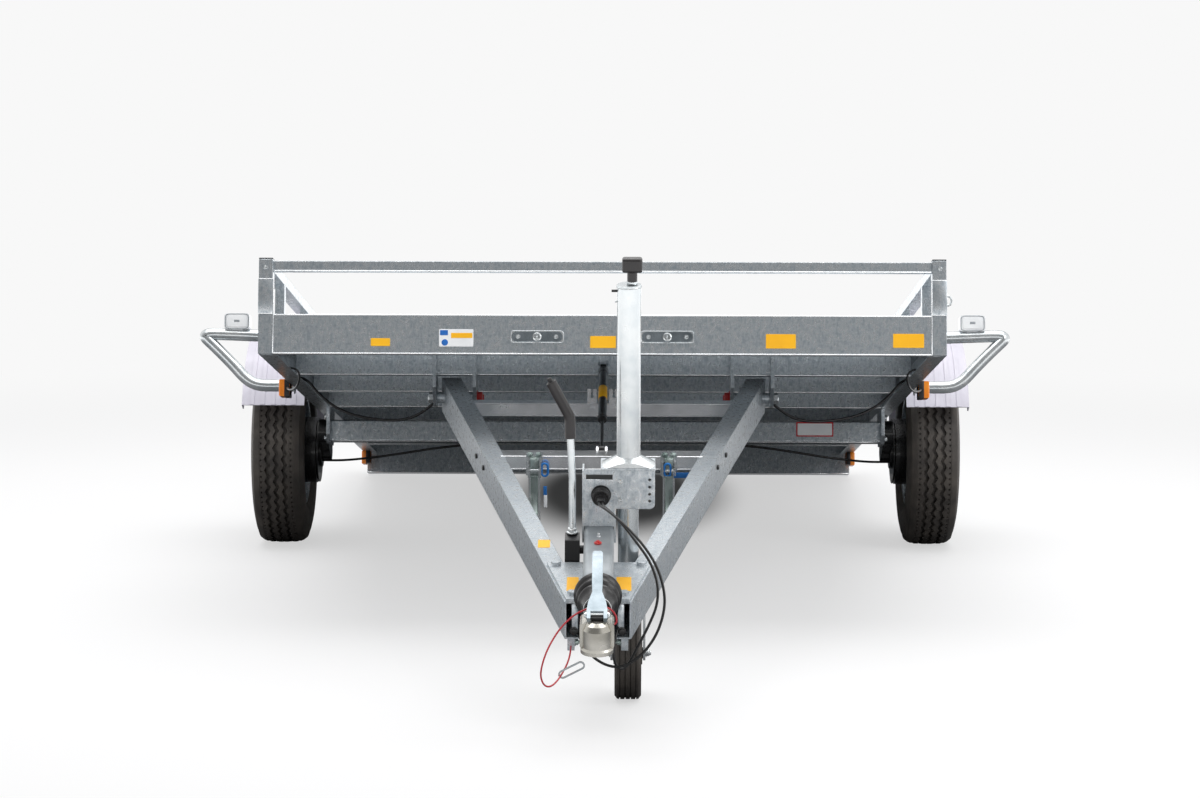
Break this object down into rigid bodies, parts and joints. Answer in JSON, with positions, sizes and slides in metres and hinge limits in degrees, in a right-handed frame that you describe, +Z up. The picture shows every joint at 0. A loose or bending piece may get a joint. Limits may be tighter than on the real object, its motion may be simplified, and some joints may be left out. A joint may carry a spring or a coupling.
{
  "type": "single-axle tilting platform trailer",
  "caption": "Braked platform trailer with a galvanised tilting bed, low rails, a hinged V drawbar with an overrun coupling and a jockey wheel, parked with its bed tipped to the floor.",
  "frame": {"origin": "centre of the overall box on the floor", "axes": "+Z up, -Y towards the coupling, +X the trailer's left-hand side"},
  "size_m": [2.6038, 5.714, 1.1731],
  "materials": {
    "galvanised_steel": "hot-dip galvanised, mottled",
    "zinc_plated_steel": "bright zinc plate",
    "tyre_rubber": "matt",
    "mudguard_plastic": "moulded pale grey",
    "black_plastic": "satin moulded",
    "black_paint": "satin black",
    "black_rubber": "matt",
    "grip_plastic": "satin grey-brown",
    "amber_lens": "ribbed lens",
    "clear_lens": "ribbed lens",
    "red_lens": "ribbed lens",
    "lead_sheath": "satin",
    "red_cable": "plastic-coated wire rope",
    "cable_sheath": "satin",
    "cast_housing": "galvanised casting"
  },
  "bodies": {
    "bed": {"front_board": "galvanised_steel", "corner_posts": "galvanised_steel", "post_caps": "black_plastic", "front_rail": "galvanised_steel", "side_rails": "galvanised_steel", "side_posts": "galvanised_steel", "side_members": "galvanised_steel", "cross_members": "galvanised_steel", "deck": "galvanised_steel", "rear_beam": "galvanised_steel", "tail_lamps": "red_lens", "lashing_plates": "zinc_plated_steel", "pivot_brackets": "galvanised_steel", "pivot_bolts": "zinc_plated_steel", "axle_beam": "galvanised_steel", "axle_plates": "galvanised_steel", "axle_arms": "black_paint", "mudguard_left": "mudguard_plastic", "mudguard_right": "mudguard_plastic", "mudguard_stays": "galvanised_steel", "side_guards": "galvanised_steel", "position_lamps": "clear_lens", "side_markers": "amber_lens", "harness_left": "lead_sheath", "harness_right": "lead_sheath", "brake_cable_left": "cable_sheath", "brake_cable_right": "cable_sheath"},
    "drawbar": {"drawbar_arm_left": "galvanised_steel", "drawbar_arm_right": "galvanised_steel", "crossbar": "galvanised_steel", "latch_beam": "galvanised_steel", "toggle_latches": "zinc_plated_steel", "nose_plate": "galvanised_steel", "overrun_housing": "cast_housing", "shaft_bellows": "black_rubber", "coupling_head": "zinc_plated_steel", "coupling_handle": "zinc_plated_steel", "handbrake_base": "black_plastic", "handbrake_lever": "zinc_plated_steel", "handbrake_grip": "grip_plastic", "tower_bracket": "galvanised_steel", "plug_holder": "black_plastic", "lead_plug": "black_plastic", "jockey_tube": "zinc_plated_steel", "jockey_knob": "grip_plastic", "lead_one": "lead_sheath", "lead_two": "lead_sheath", "breakaway_cable": "red_cable", "carabiner": "zinc_plated_steel"},
    "jockey_leg": {"jockey_leg": "zinc_plated_steel"},
    "jockey_fork": {"jockey_fork": "zinc_plated_steel"},
    "jockey_wheel": {"jockey_wheel": "tyre_rubber"},
    "wheel_left": {"tyre_left": "tyre_rubber", "rim_left": "galvanised_steel", "drum_left": "black_paint"},
    "wheel_right": {"tyre_right": "tyre_rubber", "rim_right": "galvanised_steel", "drum_right": "black_paint"},
    "damper_tube": {"damper_tube": "black_paint"},
    "damper_rod": {"damper_rod": "zinc_plated_steel"}
  },
  "joints": [
    {"name": "drawbar_tilt", "type": "hinge", "parent": "bed", "child": "drawbar", "pos_m": [0, -0.5345, 0.63987], "axis": [-1, 0, 0], "range_deg": [0, 21.04]},
    {"name": "damper_swing", "type": "hinge", "parent": "bed", "child": "damper_tube", "pos_m": [0, -0.60115, 0.73993], "axis": [-1, 0, 0], "range_deg": [-1, 24.82]},
    {"name": "damper_slide", "type": "slide", "parent": "damper_tube", "child": "damper_rod", "axis": [0, -0.9624, -0.2717], "range_m": [-0.0431, 0.004]},
    {"name": "jockey_slide", "type": "slide", "parent": "drawbar", "child": "jockey_leg", "axis": [0, -0.1805, 0.9836], "range_m": [-0.18, 0.035]},
    {"name": "jockey_swivel", "type": "hinge", "parent": "jockey_leg", "child": "jockey_fork", "pos_m": [0.076, -2.13191, 0.25858], "axis": [0, -0.1805, 0.9836], "continuous": true},
    {"name": "jockey_spin", "type": "hinge", "parent": "jockey_fork", "child": "jockey_wheel", "pos_m": [0.076, -2.13929, 0.1215], "axis": [1, 0, 0], "continuous": true},
    {"name": "wheel_spin_left", "type": "hinge", "parent": "bed", "child": "wheel_left", "pos_m": [1.128, 0.79826, 0.325], "axis": [1, 0, 0], "continuous": true},
    {"name": "wheel_spin_right", "type": "hinge", "parent": "bed", "child": "wheel_right", "pos_m": [-1.128, 0.79826, 0.325], "axis": [1, 0, 0], "continuous": true}
  ],
  "couplings": [
    {"joint": "damper_swing", "follows": "drawbar_tilt", "ratio": 1.0846},
    {"joint": "damper_slide", "follows": "drawbar_tilt", "m_per_rad": -0.10651}
  ]
}
